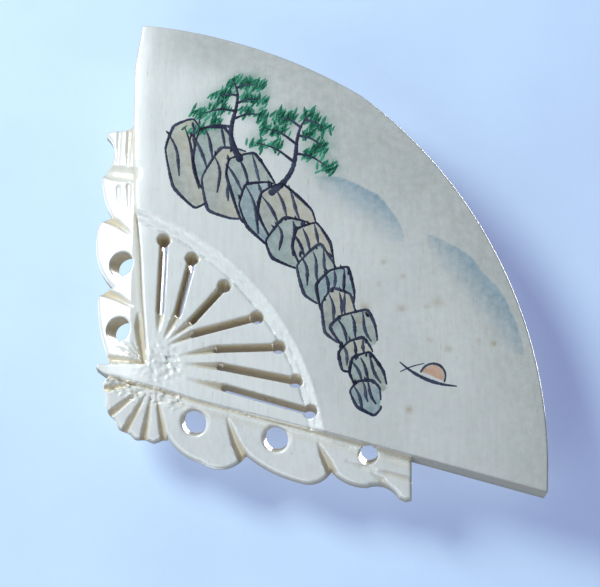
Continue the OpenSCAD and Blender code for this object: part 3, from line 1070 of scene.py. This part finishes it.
def paint_strokes():
    needles = Brush(seed=5, lift=0.008)
    for pad in PADS:
        for _ in range(round(22 * pad.wide)):
            at = pad.centre + (needles.random.gauss(0, pad.wide * 0.5),
                               needles.random.gauss(0, pad.tall * 0.8))
            size = needles.random.uniform(0.55, 0.95)
            turn = math.radians(60 + needles.random.gauss(0, 18))
            if on_leaf(at):
                needles.dab(*at, size, size * 0.42, turn, needles.random.random())
    needles.piece("pine_needles",
                  paint_material("green_paint", srgb(14, 100, 76), srgb(62, 146, 116)))
    ink = Brush(seed=9, lift=0.014)
    ink_rocks(ink)
    for widths, line in LIMBS:
        ink.stroke(line, widths, ink.random.uniform(0.05, 0.4))
    ink_boat(ink)
    ink.piece("ink_strokes", paint_material("ink", srgb(18, 22, 52), srgb(84, 92, 114)))


# --- materials -------------------------------------------------------------------------------

class Nodes:
    """A material's node tree, built with short calls."""

    def __init__(self, name):
        self.material = bpy.data.materials.new(name)
        self.material.use_nodes = True
        self.tree = self.material.node_tree
        self.shader = self.tree.nodes["Principled BSDF"]

    def add(self, kind, **settings):
        node = self.tree.nodes.new(kind)
        for key, value in settings.items():
            setattr(node, key, value)
        return node

    def link(self, output, target):
        self.tree.links.new(output, target)

    def put(self, target, value):
        if isinstance(value, bpy.types.NodeSocket):
            self.link(value, target)
        elif value is not None:
            target.default_value = value

    def position(self, stretch=(1, 1, 1), turn=(0, 0, 0)):
        mapping = self.add("ShaderNodeMapping")
        mapping.inputs["Scale"].default_value = stretch
        mapping.inputs["Rotation"].default_value = turn
        self.link(self.add("ShaderNodeTexCoord").outputs["Object"], mapping.inputs["Vector"])
        return mapping.outputs["Vector"]

    def noise(self, scale, detail=3, rough=0.55, vector=None, distortion=0.0):
        node = self.add("ShaderNodeTexNoise")
        node.inputs["Scale"].default_value = scale
        node.inputs["Detail"].default_value = detail
        node.inputs["Roughness"].default_value = rough
        node.inputs["Distortion"].default_value = distortion
        self.put(node.inputs["Vector"], vector if vector is not None else self.position())
        return node.outputs["Fac"]

    def ramp(self, value, low, high, start=0.0, end=1.0):
        node = self.add("ShaderNodeMapRange")
        bounds = {"From Min": low, "From Max": high, "To Min": start, "To Max": end}
        for name, number in bounds.items():
            node.inputs[name].default_value = number
        self.put(node.inputs["Value"], value)
        return node.outputs["Result"]

    def math(self, operation, a, b):
        node = self.add("ShaderNodeMath", operation=operation)
        self.put(node.inputs[0], a)
        self.put(node.inputs[1], b)
        return node.outputs["Value"]

    def mix(self, factor, a, b, blend="MIX"):
        node = self.add("ShaderNodeMix", data_type="RGBA", blend_type=blend)
        self.put(node.inputs["Factor"], factor)
        self.put(node.inputs[6], a if not isinstance(a, tuple) else (*a, 1))
        self.put(node.inputs[7], b if not isinstance(b, tuple) else (*b, 1))
        return node.outputs[2]

    def attribute(self, name):
        return self.add("ShaderNodeAttribute", attribute_name=name)

    def bump(self, height, strength, distance):
        node = self.add("ShaderNodeBump")
        node.inputs["Strength"].default_value = strength
        node.inputs["Distance"].default_value = distance
        self.link(height, node.inputs["Height"])
        self.link(node.outputs["Normal"], self.shader.inputs["Normal"])

    def set(self, **values):
        for name, value in values.items():
            socket = self.shader.inputs[name.replace("_", " ")]
            self.put(socket, (*value, 1) if isinstance(value, tuple) and len(value) == 3 else value)
        return self.material


def bone_material():
    m = Nodes("carved_bone")
    grain = m.position(stretch=(1, 1, 0.12), turn=(0, math.radians(8), 0))
    streaks = m.noise(2600, 4, 0.6, grain)
    cloud = m.noise(110, 3)
    blotch = m.noise(420, 4, 0.6)
    pores = m.ramp(m.noise(5200, 2, 0.5, grain), 0.68, 0.8)
    tone = m.mix(m.ramp(cloud, 0.35, 0.65), srgb(228, 229, 227), srgb(216, 218, 217))
    tone = m.mix(m.ramp(streaks, 0.42, 0.75, 0, 0.4), tone, srgb(200, 199, 190))
    tone = m.mix(m.ramp(blotch, 0.6, 0.8, 0, 0.3), tone, srgb(234, 233, 224))
    tone = m.mix(m.math("MULTIPLY", pores, 0.45), tone, srgb(150, 140, 118))
    # the stain attribute browns the gouges, the leaf's foot and the slot and hole walls: stain with
    # painted shade in these recesses
    stain_and_shade = m.attribute("stain_and_shade").outputs["Fac"]
    patchy_stain_and_shade = m.math("MULTIPLY", stain_and_shade, m.ramp(m.noise(1500, 3), 0.3, 0.6, 0.7, 1.05))
    tone = m.mix(patchy_stain_and_shade, tone, srgb(204, 188, 154))
    wash = m.attribute("wash")
    pooled = m.ramp(m.noise(1300, 4, 0.65), 0.3, 0.7, 0.72, 1.1)
    wet = m.math("MULTIPLY", wash.outputs["Alpha"], pooled)
    tone = m.mix(wet, tone, wash.outputs["Color"])
    rough = m.ramp(m.noise(700, 3), 0.3, 0.7, 0.26, 0.4)
    fine = m.math("ADD", m.noise(3800, 3, 0.6, grain), m.math("MULTIPLY", m.noise(900, 2), 0.8))
    facing = m.add("ShaderNodeSeparateXYZ")
    m.link(m.add("ShaderNodeNewGeometry").outputs["Normal"], facing.inputs["Vector"])
    saw = m.noise(900, 3, 0.6, m.position(stretch=(0.05, 1, 2.4), turn=(0, math.radians(-14), 0)))
    on_back = m.ramp(facing.outputs["Y"], 0.8, 0.95)
    cut = m.math("MULTIPLY", on_back, saw)
    m.bump(m.math("ADD", fine, m.math("MULTIPLY", cut, 4)), 0.25, 0.00002)
    sawn = m.math("MULTIPLY", m.ramp(cut, 0.4, 0.7), 0.35)
    tone = m.mix(sawn, tone, srgb(206, 198, 176))
    return m.set(Base_Color=tone, Roughness=rough, IOR=1.54, Subsurface_Weight=0.08,
                 Subsurface_Scale=0.001, Coat_Weight=0.75, Coat_Roughness=0.09)


def paint_material(name, dark, pale):
    m = Nodes(name)
    tone = m.attribute("tone").outputs["Fac"]
    pooled = m.math("ADD", tone, m.ramp(m.noise(900, 3), 0.3, 0.7, -0.22, 0.22))
    colour = m.mix(pooled, dark, pale)
    m.bump(m.noise(4200, 3), 0.3, 0.00001)
    rough = m.ramp(m.noise(2000, 2), 0.3, 0.7, 0.42, 0.62)
    return m.set(Base_Color=colour, Roughness=rough, Specular_IOR_Level=0.35)


bone.data.materials.append(bone_material())
paint_strokes()

# --- the finding on the back -----------------------------------------------------------------

BEAD_STEP = 0.25
BEAD_CORNER = 1.4
BEAD_OUT = 0.42
BEAD_ACROSS = 7
BEAD_WAVES = (2, 5, 9, 14, 23)
BAR_WIDTH = 4.8
WELD_GAP = 0.000001
EASED_EDGE = 0.00005


def bar_outline():
    """The glued bar's rounded outline in the drawing plane, from the CAD's own box."""
    low, high = (np.array(corner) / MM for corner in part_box("pin_bar"))
    half = np.array([high[0] - low[0], BAR_WIDTH]) / 2
    middle = np.array([(low[0] + high[0]) / 2 + PIN_MIDDLE[0], PIN_MIDDLE[1]])
    points = []
    for k, (sx, sy) in enumerate(((1, 1), (-1, 1), (-1, -1), (1, -1))):
        hub = middle + (half - BEAD_CORNER) * (sx, sy)
        start = k * math.pi / 2
        points += circle_arc(hub, BEAD_CORNER, start, start + math.pi / 2, BEAD_STEP)
    return divided(np.array(points), BEAD_STEP)


def make_glue():
    """The bed under the bar and the uneven bead squeezed out around it, as one closed skin."""
    chance = random.Random(31)
    outline = bar_outline()
    n = len(outline)
    waves = [(k, chance.uniform(0, math.tau), chance.uniform(0.04, 0.11)) for k in BEAD_WAVES]
    around = np.arange(n) * math.tau / n
    swell = BEAD_OUT + sum(size * np.sin(k * around + phase) for k, phase, size in waves)
    swell = np.clip(swell, 0.12, 0.9)
    outward = beside(outline, -1) - outline
    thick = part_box("glue_bed")[1][1] / MM - BACK_Y / MM
    rings = []
    # over the bead from its toe on the bone to under the bar
    for t in np.linspace(0, 1, BEAD_ACROSS):
        out_by = swell * math.cos(t * math.pi / 2) - 0.05 * t
        high = (thick + swell * 0.45) * math.sin(t * math.pi) ** 0.7 + thick * t
        z = -np.maximum(high, 0.0) if t < 1 else np.full(n, -thick)
        rings.append(np.column_stack([outline + outward * out_by[:, None], z]))
    rings.append(np.column_stack([outline - outward * 0.3, np.full(n, -thick)]))
    rings.append(np.column_stack([outline - outward * 0.3, np.zeros(n)]))
    points = np.vstack(rings)
    faces = []
    for k in range(len(rings)):
        a, b = k * n, (k + 1) % len(rings) * n
        for i in range(n):
            j = (i + 1) % n
            faces.append((a + i, b + i, b + j, a + j))
    piece = new_piece("glue_bead", points, faces, sharp=60)
    piece.data.materials.append(glue_material())
    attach(piece, "brooch")
    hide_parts("glue_bed")


def glue_material():
    m = Nodes("aged_glue")
    tone = m.mix(m.ramp(m.noise(600, 3), 0.3, 0.7), srgb(214, 196, 148), srgb(186, 160, 104))
    m.bump(m.noise(1800, 2), 0.35, 0.00003)
    rough = m.ramp(m.noise(1100, 2), 0.3, 0.7, 0.16, 0.34)
    return m.set(Base_Color=tone, Roughness=rough, Transmission_Weight=0.25,
                 Subsurface_Weight=0.2, Subsurface_Scale=0.0006)


def metal_material(name, clean, tarnish, rough, drawn=(1, 1, 1)):
    """A plated or drawn metal with fine scratches, cloudy tarnish and small pits."""
    m = Nodes(name)
    lines = m.position(stretch=drawn, turn=(0, 0, math.radians(12)))
    scratch = m.noise(3600, 3, 0.6, lines)
    cloud = m.noise(520, 4, 0.6)
    pits = m.ramp(m.noise(4200, 2), 0.7, 0.8)
    tone = m.mix(m.ramp(cloud, 0.45, 0.72, 0, 0.8), clean, tarnish)
    tone = m.mix(m.math("MULTIPLY", pits, 0.5), tone, srgb(96, 84, 66))
    worn = m.math("ADD", m.ramp(cloud, 0.3, 0.75, rough, rough + 0.2),
                  m.ramp(scratch, 0.5, 0.75, 0, 0.14))
    m.bump(m.math("ADD", scratch, m.math("MULTIPLY", pits, -0.8)), 0.25, 0.000012)
    return m.set(Base_Color=tone, Roughness=worn, Metallic=1.0)


def finish_metals():
    """Metals for the carried-over CAD nodes, with the sharpest edges eased on all but the pin's
    wire.
    """
    nickel = metal_material("nickel_plate_worn", srgb(206, 203, 196), srgb(168, 158, 136), 0.22)
    brass = metal_material("brass_worn", srgb(214, 178, 104), srgb(150, 116, 62), 0.26)
    wire = metal_material("steel_wire_drawn", srgb(202, 202, 200), srgb(158, 152, 142), 0.3,
                          drawn=(0.06, 1, 1))
    finishes = {
        "pin_bar": nickel, "catch_housing": nickel, "locking_collar": nickel,
        "pin_stem": wire, "fixing_nails": brass, "hinge_rivet": brass
    }
    for name, material in finishes.items():
        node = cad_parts[name]
        node.data.materials.clear()
        node.data.materials.append(material)
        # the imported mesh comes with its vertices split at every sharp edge
        node.modifiers.new("joined_edges", "WELD").merge_threshold = WELD_GAP
        if name == "pin_stem":
            node.modifiers.new("even_shading", "WEIGHTED_NORMAL")
            continue
        ease = node.modifiers.new("eased_edges", "BEVEL")
        ease.width = EASED_EDGE
        ease.segments = 2
        ease.limit_method = "ANGLE"
        ease.angle_limit = math.radians(40)


make_glue()
finish_metals()

# --- stage, camera and lights ----------------------------------------------------------------

PAPER_HALF = 1.5
PAPER_GAP = 0.00005


def make_paper():
    """Pale paper behind the pin, seen from its front only so that the back views stay open."""
    y = cad_box[1][1] + PAPER_GAP
    corners = [(-PAPER_HALF, y, -PAPER_HALF), (PAPER_HALF, y, -PAPER_HALF),
               (PAPER_HALF, y, PAPER_HALF), (-PAPER_HALF, y, PAPER_HALF)]
    mesh = bpy.data.meshes.new("paper")
    mesh.from_pydata(corners, [], [(0, 1, 2, 3)])
    paper = bpy.data.objects.new("paper", mesh)
    bpy.context.scene.collection.objects.link(paper)
    paper.visible_diffuse = False
    paper.visible_glossy = False
    paper.visible_transmission = False
    paper.visible_shadow = False
    m = Nodes("pale_paper")
    tone = m.mix(m.ramp(m.noise(60, 4), 0.35, 0.65), (0.49, 0.65, 0.7), (0.46, 0.61, 0.66))
    m.bump(m.noise(2500, 3), 0.3, 0.00004)
    m.set(Base_Color=tone, Roughness=0.9, Emission_Color=(0.15, 0.16, 0.4), Emission_Strength=0.85,
          Specular_IOR_Level=0.2)
    clear = m.add("ShaderNodeBsdfTransparent")
    either = m.add("ShaderNodeMixShader")
    m.link(m.add("ShaderNodeNewGeometry").outputs["Backfacing"], either.inputs[0])
    m.link(m.shader.outputs["BSDF"], either.inputs[1])
    m.link(clear.outputs["BSDF"], either.inputs[2])
    m.link(either.outputs["Shader"], m.tree.nodes["Material Output"].inputs["Surface"])
    mesh.materials.append(m.material)


def aimed(obj, place, target):
    obj.location = place
    obj.rotation_euler = (Vector(target) - Vector(place)).to_track_quat("-Z", "Y").to_euler()
    bpy.context.scene.collection.objects.link(obj)
    return obj


def area_light(name, place, size, watts, colour):
    light = bpy.data.lights.new(name, "AREA")
    light.shape = "DISK"
    light.size = size
    light.energy = watts
    light.color = colour
    lamp = aimed(bpy.data.objects.new(name, light), place, (0, BACK_Y, -0.005))
    lamp.visible_camera = False
    return lamp


make_paper()
area_light("window_key", (-0.18, -0.18, 0.11), 0.12, 0.8, (0.88, 0.96, 1.0))
area_light("low_fill", (-0.16, -0.22, -0.24), 0.22, 0.36, (0.84, 0.92, 1.0))
area_light("back_key", (0.22, 0.42, 0.25), 0.3, 2.0, (1.0, 0.99, 0.97))
area_light("back_fill", (-0.35, 0.3, 0.05), 0.3, 0.5, (0.88, 0.93, 1.0))

world = bpy.data.worlds.new("pale_room")
world.use_nodes = True
world.node_tree.nodes["Background"].inputs["Color"].default_value = (0.8, 0.9, 1.0, 1)
world.node_tree.nodes["Background"].inputs["Strength"].default_value = 0.24
bpy.context.scene.world = world

CAMERA_TILT = math.radians(18)
CAMERA_FAR = 0.170
CAMERA_TARGET = Vector(to_frame([(0, 0, LEAF_T)])[0])
camera = bpy.data.cameras.new("camera")
camera.lens = 102
camera.sensor_width = 36
camera.clip_start = 0.001
view_way = Vector((0, -math.cos(CAMERA_TILT), -math.sin(CAMERA_TILT)))
bpy.context.scene.camera = aimed(
    bpy.data.objects.new("camera", camera), CAMERA_TARGET + view_way * CAMERA_FAR, CAMERA_TARGET
)
bpy.context.scene.view_settings.view_transform = "Standard"
